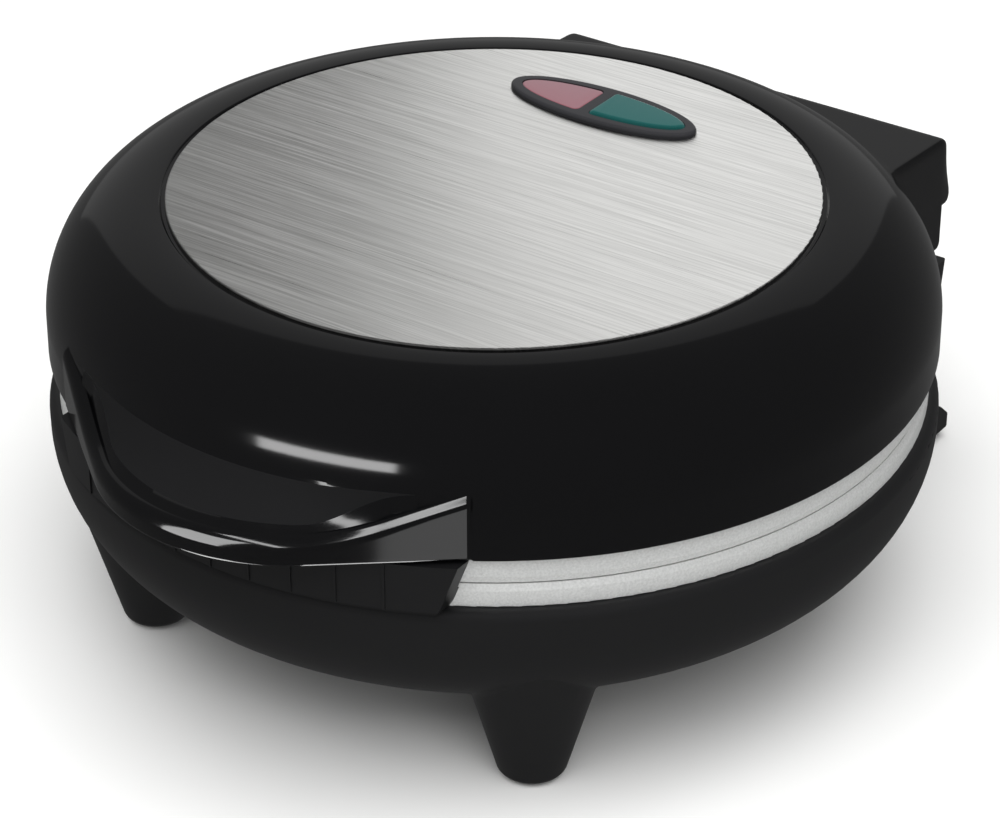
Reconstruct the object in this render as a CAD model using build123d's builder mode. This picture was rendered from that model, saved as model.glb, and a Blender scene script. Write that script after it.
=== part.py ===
from build123d import *
from math import atan2, cos, degrees, hypot, radians, sin, sqrt
import os

os.makedirs("parts", exist_ok=True)

# Two-pocket omelette maker, closed and standing on its four feet, in millimetres.
# The handle is on the -Y side, the hinge on the +Y side, +X is to the right seen from the handle.
# The origin is on the surface it stands on, under the axis of the round body.

# Round body
lid_radius = 113.0
base_radius = 113.9
rim_radius = 111.0
rim_skirt_radius = 107.6
groove_depth = 1.0
groove_above = 2.0
groove_below = 1.5
parting_z = 67.2
lid_edge_z = 74.8
base_edge_z = 61.1
base_edge_radius = 3.2
lid_top_z = 112.7
shoulder_radius = 29.0
wall = 2.6
web_top_z = 112.0
web_bottom_z = 109.4

# Brushed top disc
disc_radius = 82.0
disc_top_z = 113.0
disc_gap = 1.2

# Bowl of the base
bowl_widest_z = 55.0
bowl_arc_radius = 31.0
bowl_slope = 26.4
base_bottom_z = 9.5

# Feet
foot_x = 59.0
foot_y = 68.5
foot_tip_radius = 8.3
foot_root_radius = 19.4
foot_root_z = 40.0
foot_fillet = 2.5
pad_radius = 5.6
pad_height = 2.2
pad_proud = 0.6

# Lid handle, a crescent beak over the front with a dished top inside a raised lip
nose_y = -80.5
nose_radius = 50.0
nose_half_angle = 38.7
flank_length = 37.9
beak_edge_z = 75.4
beak_lip_width = 3.4
beak_lip_z = 82.2
beak_lip_low_x = 26.9
beak_lip_high_x = 44.7
beak_lip_slope = 0.54
beak_lip_proud = 0.5
crease = (112.0, 91.4)
dish_radius = 30.0
dish_swing = 26.0
dish_steps = 5
dish_inner = 104.0
dish_outer = 136.0
rib_thickness = 1.4

# Hood over the hinge
hood_half_width = 61.0
hood_front = (84.0, 95.1)
hood_crest = (126.7, 92.8)
hood_heel = (131.9, 71.8)
hood_crest_radius = 3.0
hood_heel_radius = 6.0
hood_corner_radius = 3.0

# Hinge
hinge_y = 119.8
hinge_z = 67.0
pin_radius = 1.6
pin_clearance = 0.05
knuckle_radius = 4.0
base_knuckle_inner_x = 30.0
base_knuckle_outer_x = 45.7
lid_ear_inner_x = 46.0
pin_end_x = 58.4
lid_ear_front_y = 112.5
lid_ear_rear_y = 125.3
lid_ear_bottom_z = 60.0
lid_ear_height = 17.0

# Rear block with the cord spool
block_top_z = 55.4
flange_bottom = (126.2, 41.6)
flange_top_y = 128.4
block_half_width = 62.0
neck_half_width = 50.0
neck_rear_y = 114.0
lip_half_width = 66.0
cord_z = 32.0
cord_bore_radius = 5.0

# Cooking plates
plate_radius = 104.8
plate_face_gap = 0.2
flange_thickness = 3.1
pocket_radius = 95.0
pocket_half_bridge = 7.0
pocket_corner = 12.0
pocket_depth = 15.0
pocket_taper = 12.0
plate_wall = 2.6
boss_y = 46.0
boss_radius = 4.0
boss_tip_z = 40.9
lid_post_radius = 83.0
base_post_radius = 72.0

# Heating
element_ring_radius = 62.0
element_tube_radius = 3.2
pan_thickness = 1.0
element_gap_angle = 9.0

# Lamps
lamp_x = -2.3
lamp_y = 52.6
bezel_half_length = 28.2
bezel_half_width = 9.8
bezel_top_z = 114.5
window_half_length = 25.0
window_half_width = 7.0
divider_x = -2.0
divider_width = 3.0

# Screws
screw_head_radius = 3.4
screw_head_height = 2.2
screw_shank_radius = 1.75
driver_slot = (4.2, 0.9)

# Front grip of the base
grip_outer = 115.6
grip_top_z = 74.5
grip_bottom_z = 62.0
grip_fin_width = 0.6
grip_fin_proud = 0.35
grip_fin_pitch = 11.0

# Worked out from the values above
dome_centre = (lid_radius - shoulder_radius, lid_top_z - shoulder_radius)
bowl_centre = (base_radius - 0.1 - bowl_arc_radius, bowl_widest_z)
pan_z = boss_tip_z - pan_thickness
plate_top_z = parting_z - plate_face_gap
flange_bottom_z = plate_top_z - flange_thickness
pocket_underside_z = plate_top_z - pocket_depth - plate_wall
mirror_plane = Plane.XY.offset(parting_z)
lid_pan_z = 2 * parting_z - pan_z
element_z = pocket_underside_z - element_tube_radius
foot_places = [(x, y) for x in (-foot_x, foot_x) for y in (-foot_y, foot_y)]
foot_slant = (foot_root_radius - foot_tip_radius) / foot_root_z


def on_arc(centre, radius, angle):
    """Point on a circle, the angle counted from the horizontal in degrees."""
    return (centre[0] + radius * cos(radians(angle)), centre[1] + radius * sin(radians(angle)))


def dome_section(inset):
    """Half section of the lid's dome, filled to the axis, with its skin drawn in by inset."""
    radius = shoulder_radius - inset
    side = lid_radius - inset
    with BuildSketch(Plane.XZ) as section:
        with BuildLine():
            Line((0, lid_edge_z), (side, lid_edge_z))
            Line((side, lid_edge_z), (side, dome_centre[1]))
            ThreePointArc(
                (side, dome_centre[1]),
                on_arc(dome_centre, radius, 45),
                (dome_centre[0], dome_centre[1] + radius),
            )
            Line((dome_centre[0], dome_centre[1] + radius), (0, dome_centre[1] + radius))
            Line((0, dome_centre[1] + radius), (0, lid_edge_z))
        make_face()
    return section.sketch


def bowl_section(inset):
    """Half section of the base's bowl, filled to the axis, with its skin drawn in by inset."""
    radius = bowl_arc_radius - inset
    side = bowl_centre[0] + radius
    floor_z = base_bottom_z + inset
    turn = on_arc(bowl_centre, radius, bowl_slope - 90)
    run = (turn[1] - floor_z) * cos(radians(bowl_slope)) / sin(radians(bowl_slope))
    with BuildSketch(Plane.XZ) as section:
        with BuildLine():
            Line((0, base_edge_z), (side - base_edge_radius, base_edge_z))
            ThreePointArc(
                (side - base_edge_radius, base_edge_z),
                on_arc((side - base_edge_radius, base_edge_z - base_edge_radius), base_edge_radius, 45),
                (side, base_edge_z - base_edge_radius),
            )
            Line((side, base_edge_z - base_edge_radius), (side, bowl_widest_z))
            ThreePointArc(
                (side, bowl_widest_z),
                on_arc(bowl_centre, radius, (bowl_slope - 90) / 2),
                turn,
            )
            Line(turn, (turn[0] - run, floor_z))
            Line((turn[0] - run, floor_z), (0, floor_z))
            Line((0, floor_z), (0, base_edge_z))
        make_face()
    return section.sketch


def beak_plan(inset):
    """Plan of the lid handle: a round nose between two straight flanks."""
    radius = nose_radius - inset
    lean = radians(nose_half_angle)
    touch = (radius * sin(lean), nose_y - radius * cos(lean))
    run = flank_length - inset
    end = (touch[0] + run * cos(lean), touch[1] + run * sin(lean))
    root = (end[0] * 0.93, end[1] * 0.93)
    with BuildSketch() as plan:
        with BuildLine():
            Line((-end[0], end[1]), (-touch[0], touch[1]))
            ThreePointArc((-touch[0], touch[1]), (0, nose_y - radius), touch)
            Line(touch, end)
            Line(end, root)
            Line(root, (-root[0], root[1]))
            Line((-root[0], root[1]), (-end[0], end[1]))
        make_face()
    return plan.sketch


def beak_reach(swing):
    """Distance of the handle's outline from the lid's axis, swing degrees away from straight ahead."""
    turn, lean = radians(abs(swing)), radians(nose_half_angle)
    touch = (nose_radius * sin(lean), nose_radius * cos(lean) - nose_y)
    if abs(swing) < degrees(atan2(touch[0], touch[1])):
        return -nose_y * cos(turn) + sqrt(nose_radius**2 - (nose_y * sin(turn)) ** 2)
    return (touch[0] * sin(lean) + touch[1] * cos(lean)) / cos(lean - turn)


def lip_height(x):
    """Height of the lip's crown: level across the nose, then rising along the flanks."""
    low, high = beak_lip_low_x, beak_lip_high_x
    bend = min(max(abs(x) - low, 0.0), high - low)
    return beak_lip_z + beak_lip_slope * (bend**2 / (2 * (high - low)) + max(abs(x) - high, 0.0))


def dish_profile(swing, drop):
    """Radial section under the handle's dished top at a swing, lowered by drop."""
    turn = radians(swing)
    reach = beak_reach(swing)
    rim = (reach - 1.03 * beak_lip_width, lip_height(reach * sin(turn)) - beak_lip_proud - drop)
    root = (crease[0], crease[1] - drop)
    floor_z = beak_edge_z - drop
    run, fall = rim[0] - root[0], rim[1] - root[1]
    sag = hypot(run, fall) / (8 * dish_radius)
    middle = ((root[0] + rim[0]) / 2 + sag * fall, (root[1] + rim[1]) / 2 - sag * run)
    radial = Plane((0, 0, 0), x_dir=(sin(turn), -cos(turn), 0), z_dir=(-cos(turn), -sin(turn), 0))
    with BuildSketch(radial) as profile:
        with BuildLine():
            ThreePointArc(root, middle, rim)
            Line(rim, (dish_outer, rim[1]))
            Line((dish_outer, rim[1]), (dish_outer, floor_z))
            Line((dish_outer, floor_z), (dish_inner, floor_z))
            Line((dish_inner, floor_z), (dish_inner, root[1]))
            Line((dish_inner, root[1]), root)
        make_face()
    return profile.sketch


def dish_solid(drop):
    """Solid under the handle's dished top: radial sections lofted from one end of the dish to the other."""
    with BuildPart() as solid:
        for step in range(-dish_steps, dish_steps + 1):
            add(dish_profile(step * dish_swing / dish_steps, drop))
        loft()
    return solid.part


def lip_elevation():
    """Front view of the handle's lip: level across the nose, then rising along the flanks."""
    low, high, end = beak_lip_low_x, beak_lip_high_x, 75.0
    middle = (low + high) / 2
    high_z, end_z = lip_height(high), lip_height(end)
    with BuildSketch(Plane.XZ) as elevation:
        with BuildLine():
            Line((-low, beak_lip_z), (low, beak_lip_z))
            Bezier((low, beak_lip_z), (middle, beak_lip_z), (high, high_z))
            Line((high, high_z), (end, end_z))
            Line((end, end_z), (end, beak_edge_z))
            Line((end, beak_edge_z), (-end, beak_edge_z))
            Line((-end, beak_edge_z), (-end, end_z))
            Line((-end, end_z), (-high, high_z))
            Bezier((-high, high_z), (-middle, beak_lip_z), (-low, beak_lip_z))
        make_face()
    return elevation.sketch


def hood_side(inset):
    """Side view of the hinge hood, drawn in by inset."""
    with BuildSketch(Plane.YZ) as side:
        with BuildLine():
            Polyline(hood_front, hood_crest, hood_heel, (hood_front[0], hood_heel[1]), close=True)
        make_face()
        crest, heel = side.vertices().sort_by(Axis.X)[-2:]
        fillet(heel, radius=hood_heel_radius)
        fillet(crest, radius=hood_crest_radius)
        if inset > 0:
            offset(amount=-inset, kind=Kind.INTERSECTION, mode=Mode.REPLACE)
    return side.sketch


def half_moon(grow):
    """Plan of the right-hand pocket, a half disc with rounded corners, enlarged by grow."""
    with BuildSketch() as plan:
        Circle(pocket_radius)
        with Locations((pocket_half_bridge, 0)):
            Rectangle(pocket_radius, 2 * pocket_radius, align=(Align.MIN, Align.CENTER), mode=Mode.INTERSECT)
        fillet(plan.vertices(), radius=pocket_corner)
        if grow > 0:
            offset(amount=grow)
    return plan.sketch


def lamp_window(side):
    """One half of the lamp window: side is -1 for the left lens and 1 for the right one."""
    edge = divider_x + side * divider_width / 2
    with BuildSketch() as plan:
        Ellipse(window_half_length, window_half_width)
        with Locations((edge, 0)):
            Rectangle(
                2 * window_half_length,
                4 * window_half_width,
                align=(Align.MIN if side > 0 else Align.MAX, Align.CENTER),
                mode=Mode.INTERSECT,
            )
        fillet(plan.vertices(), radius=1.6)
    return plan.sketch


# Lip of the lid handle, its outer edge rounded
with BuildPart() as beak_form:
    with BuildSketch(Plane.XY.offset(beak_edge_z)):
        add(beak_plan(0))
    extrude(amount=40)
    add(extrude(lip_elevation(), amount=150, mode=Mode.PRIVATE), mode=Mode.INTERSECT)
    upper_edges = beak_form.edges().filter_by(lambda e: e.center().Z > 81 and abs(e.tangent_at(0.5).Z) < 0.9)
    outer_edges = upper_edges.filter_by(lambda e: hypot(e.center().X, e.center().Y) > lid_radius + 0.4)
    fillet(outer_edges, radius=beak_lip_width)
    with BuildSketch(Plane.XY.offset(beak_edge_z - 1)):
        add(beak_plan(beak_lip_width))
    extrude(amount=40, mode=Mode.SUBTRACT)

# Dish inside the lip
with BuildPart() as dish_form:
    with BuildSketch(Plane.XY.offset(beak_edge_z)):
        add(beak_plan(beak_lip_width))
    extrude(amount=30)
    add(dish_solid(0), mode=Mode.INTERSECT)

# Hollow under the handle, outside the dome's own wall
with BuildPart() as beak_hollow:
    with BuildSketch(Plane.XY.offset(beak_edge_z - 2)):
        add(beak_plan(wall))
    extrude(amount=30)
    add(dish_solid(1.2 * wall), mode=Mode.INTERSECT)
    Cylinder(lid_radius, 200, mode=Mode.SUBTRACT)

# Hinge hood before it is joined to the dome
with BuildPart() as hood_form:
    add(extrude(hood_side(0), amount=hood_half_width, both=True, mode=Mode.PRIVATE))
    rear_edges = hood_form.edges().filter_by(lambda e: e.center().Y > 126 and e.length > 10)
    corners = rear_edges.filter_by(lambda e: abs(e.center().X) > hood_half_width - 1)
    fillet(corners, radius=hood_corner_radius)

with BuildPart() as hood_hollow:
    add(extrude(hood_side(wall), amount=hood_half_width - wall, both=True, mode=Mode.PRIVATE))
    with BuildSketch(Plane.XY.offset(hood_heel[1] - 8)):
        with Locations((0, 84)):
            Rectangle(2 * (hood_half_width - wall), 38.5, align=(Align.CENTER, Align.MIN))
    extrude(amount=16)
    Cylinder(lid_radius - wall / 2, 400, mode=Mode.SUBTRACT)


# Lid shell: dome, hood and handle in one moulding, with the two hinge ears inside the hood
with BuildPart() as lid_shell:
    add(revolve(dome_section(0), axis=Axis.Z, mode=Mode.PRIVATE))
    add(beak_form)
    add(dish_form)
    add(hood_form)
    add(revolve(dome_section(wall), axis=Axis.Z, mode=Mode.PRIVATE), mode=Mode.SUBTRACT)
    add(beak_hollow, mode=Mode.SUBTRACT)
    add(hood_hollow, mode=Mode.SUBTRACT)
    # Web under the brushed disc, with a shallow recess for it
    with BuildSketch(Plane.XY.offset(web_bottom_z)):
        Circle(dome_centre[0])
    extrude(amount=web_top_z - web_bottom_z)
    with BuildSketch(Plane.XY.offset(web_top_z)):
        Circle(disc_radius + disc_gap)
    extrude(amount=5, mode=Mode.SUBTRACT)
    # Room for the rims under the hood's side walls
    with BuildSketch(Plane.XY.offset(hood_heel[1] - 1)):
        Circle(rim_radius + 0.6)
    extrude(amount=lid_edge_z - hood_heel[1] + 1, mode=Mode.SUBTRACT)
    # Hinge ears
    for side in (-1, 1):
        with BuildSketch(Plane.YZ.offset(side * lid_ear_inner_x)) as ear:
            with Locations((lid_ear_front_y, lid_ear_bottom_z)):
                Rectangle(lid_ear_rear_y - lid_ear_front_y, lid_ear_height, align=(Align.MIN, Align.MIN))
            fillet(ear.vertices().group_by(Axis.Y)[0], radius=1.8)
        extrude(amount=side * (hood_half_width - lid_ear_inner_x))
        with BuildSketch(Plane.YZ.offset(side * (lid_ear_inner_x - 1))):
            with Locations((hinge_y, hinge_z)):
                Circle(pin_radius + pin_clearance)
        extrude(amount=side * (pin_end_x + 0.4 - lid_ear_inner_x + 1), mode=Mode.SUBTRACT)
    # Posts for the screws that hold the heating stack
    with BuildSketch(Plane.XY.offset(lid_pan_z + pan_thickness)):
        with PolarLocations(lid_post_radius, 3, start_angle=30):
            Circle(4.6)
    extrude(amount=web_bottom_z + 1 - lid_pan_z - pan_thickness)
    with BuildSketch(Plane.XY.offset(lid_pan_z)):
        with PolarLocations(lid_post_radius, 3, start_angle=30):
            Circle(screw_shank_radius)
    extrude(amount=9, mode=Mode.SUBTRACT)
    # Window for the lamps
    with BuildSketch(Plane.XY.offset(web_bottom_z - 1)):
        with Locations((lamp_x, lamp_y)):
            Ellipse(window_half_length + 1.6, window_half_width + 1.4)
    extrude(amount=5, mode=Mode.SUBTRACT)
    # Stiffening ribs under the handle
    for x in (-30.0, -15.0, 0.0, 15.0, 30.0):
        with BuildSketch(Plane.YZ.offset(x - rib_thickness / 2)):
            with BuildLine():
                Polyline(
                    (-112.0, beak_edge_z + 0.8),
                    (-112.0, 90.0),
                    (-118.0, 84.0),
                    (-140.0, 80.5),
                    (-140.0, 77.5),
                    close=True,
                )
            make_face()
        rib = extrude(amount=rib_thickness, mode=Mode.PRIVATE)
        add(rib.intersect(beak_hollow.part), mode=Mode.ADD)
lid_shell.part.label = "lid_shell"
export_step(lid_shell.part, "parts/lid_shell.step")

# Brushed disc on top of the lid
with BuildPart() as top_disc:
    with BuildSketch(Plane.XY.offset(web_top_z)):
        Circle(disc_radius)
        with Locations((lamp_x, lamp_y)):
            Ellipse(window_half_length + 1.7, window_half_width + 1.5, mode=Mode.SUBTRACT)
    extrude(amount=disc_top_z - web_top_z)
    rim_edge = top_disc.edges().filter_by(GeomType.CIRCLE).sort_by(Axis.Z)[-1]
    fillet(rim_edge, radius=0.4)
top_disc.part.label = "top_disc"
export_step(top_disc.part, "parts/top_disc.step")

# Frame of the two lamps: a rounded rim on the disc and a collar down through the web
with BuildPart() as lamp_bezel:
    with BuildSketch(Plane.XY.offset(disc_top_z)):
        with Locations((lamp_x, lamp_y)):
            Ellipse(bezel_half_length, bezel_half_width)
    extrude(amount=bezel_top_z - disc_top_z)
    fillet(lamp_bezel.edges().sort_by(Axis.Z)[-1], radius=1.0)
    with BuildSketch(Plane.XY.offset(web_bottom_z)):
        with Locations((lamp_x, lamp_y)):
            Ellipse(window_half_length + 1.5, window_half_width + 1.3)
    extrude(amount=disc_top_z - web_bottom_z)
    for side in (-1, 1):
        with BuildSketch(Plane.XY.offset(web_bottom_z)):
            with Locations((lamp_x, lamp_y)):
                add(lamp_window(side))
        extrude(amount=10, mode=Mode.SUBTRACT)
lamp_bezel.part.label = "lamp_bezel"
export_step(lamp_bezel.part, "parts/lamp_bezel.step")

# Power lens on the left, nearly flush
with BuildPart() as power_lens:
    with BuildSketch(Plane.XY.offset(web_bottom_z)):
        with Locations((lamp_x, lamp_y)):
            add(lamp_window(-1))
    extrude(amount=bezel_top_z - web_bottom_z - 0.1)
    fillet(power_lens.faces().sort_by(Axis.Z)[-1].edges(), radius=0.7)
power_lens.part.label = "power_lens"
export_step(power_lens.part, "parts/power_lens.step")

# Ready lens on the right, domed
with BuildPart() as ready_lens:
    with BuildSketch(Plane.XY.offset(web_bottom_z)):
        with Locations((lamp_x, lamp_y)):
            add(lamp_window(1))
    extrude(amount=bezel_top_z - web_bottom_z + 0.7)
    fillet(ready_lens.faces().sort_by(Axis.Z)[-1].edges(), radius=1.4)
ready_lens.part.label = "ready_lens"
export_step(ready_lens.part, "parts/ready_lens.step")

# Holder that clips the two neon lamps under the lenses
with BuildPart() as lamp_holder:
    with BuildSketch(Plane.XY.offset(web_bottom_z - 9.0)) as holder_plan:
        with Locations((lamp_x, lamp_y)):
            Rectangle(62, 22)
        fillet(holder_plan.vertices(), radius=4)
    extrude(amount=9.0)
    with BuildSketch(Plane.XY.offset(web_bottom_z - 7.6)) as holder_room:
        with Locations((lamp_x, lamp_y)):
            Rectangle(56, 18)
        fillet(holder_room.vertices(), radius=3)
    extrude(amount=8.0, mode=Mode.SUBTRACT)
    with BuildSketch(Plane.XY.offset(web_bottom_z - 7.6)):
        with Locations((lamp_x + divider_x, lamp_y)):
            Rectangle(1.4, 18)
    extrude(amount=7.6)
lamp_holder.part.label = "lamp_holder"
export_step(lamp_holder.part, "parts/lamp_holder.step")

# Neon lamps, glass tubes lying under each lens
for name, x in (("power_neon", lamp_x - 14.5), ("ready_neon", lamp_x + 11.5)):
    with BuildPart() as neon:
        with BuildSketch(Plane.YZ.offset(x - 6.5)):
            with Locations((lamp_y, web_bottom_z - 4.8)):
                Circle(2.8)
        extrude(amount=13)
        fillet(neon.edges().filter_by(GeomType.CIRCLE), radius=1.2)
    neon.part.label = name
    export_step(neon.part, f"parts/{name}.step")

# Lower rim: flat band, lower side of the V groove, ledge for the plate, skirt in the shell
rim_points = (
    (plate_radius + 0.2, plate_top_z),
    (rim_radius - groove_depth, plate_top_z),
    (rim_radius, plate_top_z - groove_below),
    (rim_radius, base_edge_z),
    (rim_skirt_radius, base_edge_z),
    (rim_skirt_radius, base_edge_z - 2.4),
    (105.4, base_edge_z - 2.4),
    (105.4, base_edge_z + 0.6),
    (98.6, base_edge_z + 0.6),
    (98.6, flange_bottom_z),
    (plate_radius + 0.2, flange_bottom_z),
)
with BuildPart() as lower_rim:
    with BuildSketch(Plane.XZ) as rim_section:
        with BuildLine():
            Polyline(*rim_points, close=True)
        make_face()
        fillet(rim_section.vertices().sort_by(Axis.X)[-2:], radius=0.5)
    revolve(axis=Axis.Z)
lower_rim.part.label = "lower_rim"
export_step(lower_rim.part, "parts/lower_rim.step")

# Upper rim: the same band the other way up with a taller side of the groove, its skirt inside the dome's wall
upper_rim_points = (
    (plate_radius + 0.2, 2 * parting_z - plate_top_z),
    (rim_radius - groove_depth, 2 * parting_z - plate_top_z),
    (rim_radius, 2 * parting_z - plate_top_z + groove_above),
    (rim_radius, lid_edge_z),
    (lid_radius - wall, lid_edge_z),
    (lid_radius - wall, lid_edge_z + 3.5),
    (107.2, lid_edge_z + 3.5),
    (107.2, 2 * parting_z - base_edge_z - 0.6),
    (98.6, 2 * parting_z - base_edge_z - 0.6),
    (98.6, 2 * parting_z - flange_bottom_z),
    (plate_radius + 0.2, 2 * parting_z - flange_bottom_z),
)
with BuildPart() as upper_rim:
    with BuildSketch(Plane.XZ) as upper_rim_section:
        with BuildLine():
            Polyline(*upper_rim_points, close=True)
        make_face()
        band_corners = upper_rim_section.vertices().filter_by(lambda v: abs(v.X - rim_radius) < 0.01)
        fillet(band_corners, radius=0.5)
    revolve(axis=Axis.Z)
upper_rim.part.label = "upper_rim"
export_step(upper_rim.part, "parts/upper_rim.step")

# Cast cooking plate: round flange, two half-moon pockets with drafted walls, two screw bosses
with BuildPart() as lower_cook_plate:
    with BuildSketch(Plane.XY.offset(flange_bottom_z)):
        Circle(plate_radius)
    extrude(amount=flange_thickness)
    for turn in (0, 180):
        with BuildSketch(Plane.XY.offset(plate_top_z).rotated((0, 0, turn))):
            add(half_moon(plate_wall))
        extrude(amount=-(pocket_depth + plate_wall), taper=pocket_taper)
    with BuildSketch(Plane.XY.offset(boss_tip_z)):
        with Locations((0, -boss_y), (0, boss_y)):
            Circle(boss_radius)
    extrude(amount=flange_bottom_z - boss_tip_z)
    for turn in (0, 180):
        with BuildSketch(Plane.XY.offset(plate_top_z).rotated((0, 0, turn))):
            add(half_moon(0))
        extrude(amount=-pocket_depth, taper=pocket_taper, mode=Mode.SUBTRACT)
    with BuildSketch(Plane.XY.offset(boss_tip_z)):
        with Locations((0, -boss_y), (0, boss_y)):
            Circle(screw_shank_radius)
    extrude(amount=14, mode=Mode.SUBTRACT)
lower_cook_plate.part.label = "lower_cook_plate"
export_step(lower_cook_plate.part, "parts/lower_cook_plate.step")

with BuildPart() as upper_cook_plate:
    mirror(lower_cook_plate.part, about=mirror_plane)
upper_cook_plate.part.label = "upper_cook_plate"
export_step(upper_cook_plate.part, "parts/upper_cook_plate.step")

# Tubular heater: an open ring under the pockets with its two cold ends turned down
with BuildPart() as element_ring:
    with BuildSketch(Plane.XZ):
        with Locations((element_ring_radius, element_z)):
            Circle(element_tube_radius)
    revolve(axis=Axis.Z, revolution_arc=360 - 2 * element_gap_angle)
with BuildPart() as lower_element:
    add(element_ring.part.rotate(Axis.Z, 90 + element_gap_angle))
    for angle in (90 - element_gap_angle, 90 + element_gap_angle):
        with BuildSketch(Plane.XY.offset(boss_tip_z + 0.4)):
            with Locations(on_arc((0, 0), element_ring_radius, angle)):
                Circle(element_tube_radius - 0.7)
        extrude(amount=element_z - boss_tip_z - 0.4)
lower_element.part.label = "lower_element"
export_step(lower_element.part, "parts/lower_element.step")

with BuildPart() as upper_element:
    mirror(lower_element.part, about=mirror_plane)
upper_element.part.label = "upper_element"
export_step(upper_element.part, "parts/upper_element.step")

# Pressed pan that throws the heat back, held on the plate's bosses
def pan_section():
    """Half section of the pan: flat floor, cone and a turned lip."""
    with BuildSketch(Plane.XZ) as section:
        with BuildLine():
            Polyline(
                (0, pan_z),
                (88.5, pan_z),
                (95.0, pan_z + 6.0),
                (98.0, pan_z + 6.0),
                (98.0, pan_z + 7.0),
                (94.6, pan_z + 7.0),
                (88.1, pan_z + pan_thickness),
                (0, pan_z + pan_thickness),
                close=True,
            )
        make_face()
    return section.sketch


with BuildPart() as lower_pan:
    add(revolve(pan_section(), axis=Axis.Z, mode=Mode.PRIVATE))
    with BuildSketch(Plane.XY.offset(pan_z - 1)):
        with Locations((0, -boss_y), (0, boss_y)):
            Circle(screw_shank_radius + 0.2)
        with PolarLocations(base_post_radius, 3, start_angle=30):
            Circle(screw_shank_radius + 0.2)
    extrude(amount=4, mode=Mode.SUBTRACT)
lower_pan.part.label = "lower_pan"
export_step(lower_pan.part, "parts/lower_pan.step")

with BuildPart() as upper_pan:
    add(revolve(pan_section(), axis=Axis.Z, mode=Mode.PRIVATE))
    with BuildSketch(Plane.XY.offset(pan_z - 1)):
        with Locations((0, -boss_y), (0, boss_y)):
            Circle(screw_shank_radius + 0.2)
        with PolarLocations(lid_post_radius, 3, start_angle=30):
            Circle(screw_shank_radius + 0.2)
    extrude(amount=4, mode=Mode.SUBTRACT)
upper_pan_part = upper_pan.part.mirror(mirror_plane)
upper_pan_part.label = "upper_pan"
export_step(upper_pan_part, "parts/upper_pan.step")


def pan_head_screw(places, seat_z, shank, way):
    """Pan-head screws with their seats at seat_z, heads on the side away from way (1 up, -1 down)."""
    with BuildPart() as screws:
        with BuildSketch(Plane.XY.offset(seat_z)):
            with Locations(*places):
                Circle(screw_head_radius)
        extrude(amount=-way * screw_head_height)
        tops = screws.faces().filter_by(Axis.Z)
        outer = tops.sort_by(Axis.Z)[: len(places)] if way > 0 else tops.sort_by(Axis.Z)[-len(places) :]
        fillet(outer.edges(), radius=1.0)
        with BuildSketch(Plane.XY.offset(seat_z)):
            with Locations(*places):
                Circle(screw_shank_radius)
        extrude(amount=way * shank)
        with BuildSketch(Plane.XY.offset(seat_z - way * screw_head_height)):
            with Locations(*places):
                Rectangle(driver_slot[0], driver_slot[1])
                Rectangle(driver_slot[1], driver_slot[0])
        extrude(amount=way * 1.0, mode=Mode.SUBTRACT)
    return screws.part


# Screws through the pans into the plates' bosses
lower_plate_screws = pan_head_screw(((0, -boss_y), (0, boss_y)), pan_z, 12, 1)
lower_plate_screws.label = "lower_plate_screws"
export_step(lower_plate_screws, "parts/lower_plate_screws.step")
upper_plate_screws = pan_head_screw(((0, -boss_y), (0, boss_y)), 2 * parting_z - pan_z, 12, -1)
upper_plate_screws.label = "upper_plate_screws"
export_step(upper_plate_screws, "parts/upper_plate_screws.step")

# Screws that hold the upper stack to the lid's posts, heads under the pan
lid_screw_places = [on_arc((0, 0), lid_post_radius, angle) for angle in (30, 150, 270)]
lid_screws = pan_head_screw(lid_screw_places, lid_pan_z - pan_thickness, 9, 1)
lid_screws.label = "lid_screws"
export_step(lid_screws, "parts/lid_screws.step")

# Base shell: bowl, four hollow feet run into it, screw posts, vents
with BuildPart() as feet_outside:
    for x, y in foot_places:
        with BuildSketch(Plane((x, y, 0), x_dir=(1, 0, 0), z_dir=(0, -1, 0))) as foot_section:
            with BuildLine():
                Polyline(
                    (0, pad_proud),
                    (foot_tip_radius, pad_proud),
                    (foot_root_radius, foot_root_z),
                    (0, foot_root_z),
                    close=True,
                )
            make_face()
            tip = foot_section.vertices().filter_by(lambda v: abs(v.X - foot_tip_radius) < 0.01)
            fillet(tip, radius=2.6)
        revolve(axis=Axis((x, y, 0), (0, 0, 1)))
with BuildPart() as base_outside:
    add(revolve(bowl_section(0), axis=Axis.Z, mode=Mode.PRIVATE))
    add(feet_outside)
    junctions = base_outside.edges().filter_by(lambda e: e.geom_type not in (GeomType.CIRCLE, GeomType.LINE))
    fillet(junctions, radius=foot_fillet)
# The hollow stops short of a thick rim that carries the lower band
with BuildPart() as bowl_inside:
    add(revolve(bowl_section(wall), axis=Axis.Z, mode=Mode.PRIVATE))
    with BuildSketch(Plane.XY.offset(base_edge_z - 5.0)):
        Circle(base_radius + 5)
        Circle(rim_skirt_radius, mode=Mode.SUBTRACT)
    extrude(amount=10, mode=Mode.SUBTRACT)
with BuildPart() as feet_inside:
    for x, y in foot_places:
        with BuildSketch(Plane((x, y, 0), x_dir=(1, 0, 0), z_dir=(0, -1, 0))):
            with BuildLine():
                Polyline(
                    (0, 5.0),
                    (foot_tip_radius - wall + 5 * foot_slant, 5.0),
                    (foot_root_radius - wall, foot_root_z),
                    (0, foot_root_z),
                    close=True,
                )
            make_face()
        revolve(axis=Axis((x, y, 0), (0, 0, 1)))

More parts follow.
